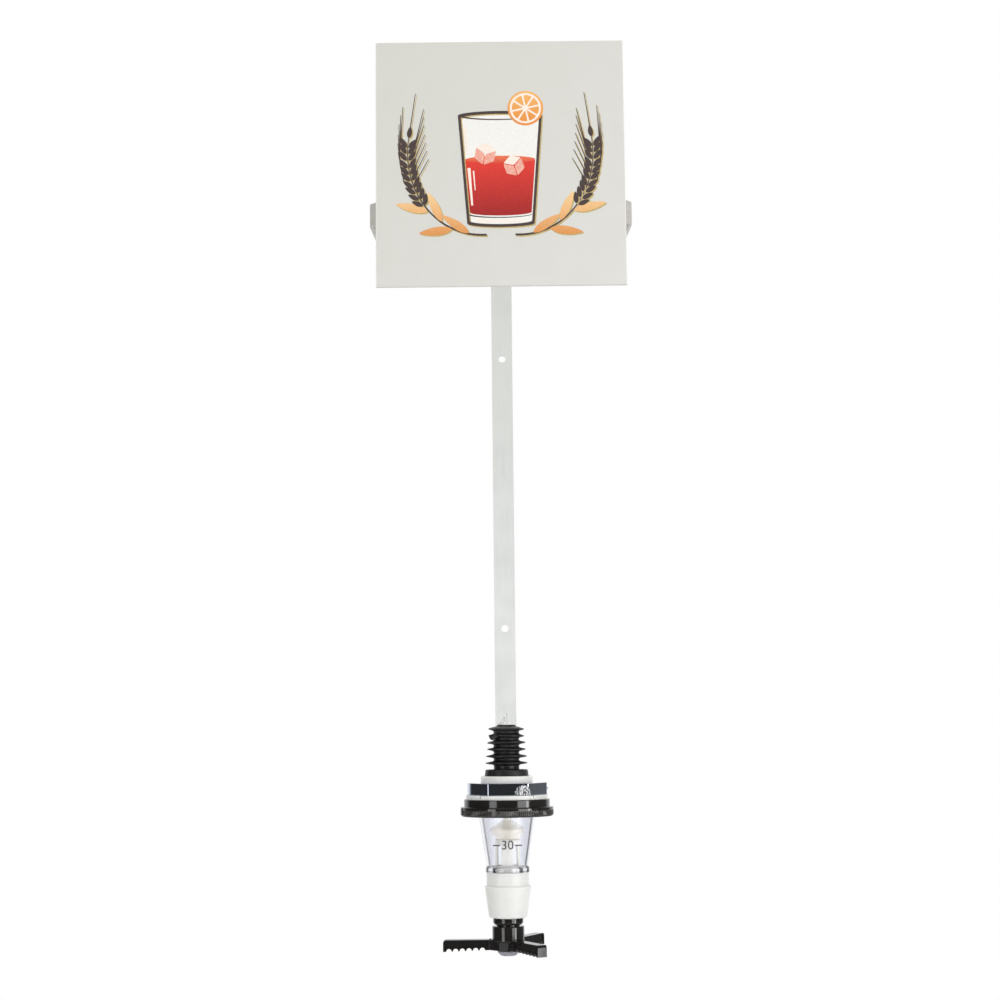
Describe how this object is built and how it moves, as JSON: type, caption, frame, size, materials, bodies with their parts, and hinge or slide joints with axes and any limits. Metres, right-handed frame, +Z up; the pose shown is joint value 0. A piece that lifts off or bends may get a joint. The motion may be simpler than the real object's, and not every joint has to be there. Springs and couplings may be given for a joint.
{
  "type": "liquor optic dispenser",
  "caption": "Wall bracket that holds an inverted spirit bottle in a hoop over a push-up measure with a clear chamber, a sliding valve and a three-armed push head.",
  "frame": {"origin": "on the wall face of the strip, midway between its two screw holes", "axes": "+Z up the wall along the strip, +Y into the wall, +X to the right as seen from in front"},
  "size_m": [0.1854, 0.163, 0.6396],
  "materials": {
    "strip_aluminium": "mill finish flat bar",
    "rivet_aluminium": "satin",
    "sign_board": "matt sheet with a printed picture",
    "foam_tape": "foam",
    "black_rubber": "moulded, matt",
    "clear_plastic": "clear, polished",
    "white_plastic": "moulded, satin gloss",
    "chromed_plastic": "bright plate",
    "black_plastic": "moulded, glossy",
    "milky_plastic": "translucent",
    "silicone": "soft, translucent",
    "seal_rubber": "matt",
    "spring_steel": "drawn wire",
    "grey_plastic": "moulded"
  },
  "bodies": {
    "root": {"wall_strip": "strip_aluminium", "optic_fork": "strip_aluminium", "fork_rivets": "rivet_aluminium", "bottle_hoop": "strip_aluminium", "hoop_rivets": "rivet_aluminium", "sign_panel": "sign_board", "sign_tape_pads": "foam_tape", "bottle_cork": "black_rubber", "breather_tube": "clear_plastic", "head_body": "white_plastic", "hex_nut": "chromed_plastic", "lock_collar": "black_plastic", "chamber_gasket": "seal_rubber", "measure_chamber": "clear_plastic", "valve_guide": "milky_plastic", "foot_seal": "seal_rubber", "spigot_body": "white_plastic"},
    "plunger": {"valve_stem": "milky_plastic", "umbrella_valve": "silicone", "lower_seal": "seal_rubber", "outlet_tube": "black_plastic", "stem_nut": "spring_steel", "return_spring": "spring_steel", "spout_nozzle": "grey_plastic"},
    "head": {"push_head": "black_plastic"}
  },
  "joints": [
    {"name": "push", "type": "slide", "parent": "root", "child": "plunger", "axis": [0, 0, 1], "range_m": [0, 0.0054], "stiffness_N_per_m": 400, "springref_m": -0.005, "deforming": ["return_spring"]},
    {"name": "head_turn", "type": "hinge", "parent": "plunger", "child": "head", "pos_m": [0, -0.085, -0.33], "axis": [0, 0, 1], "continuous": true}
  ]
}
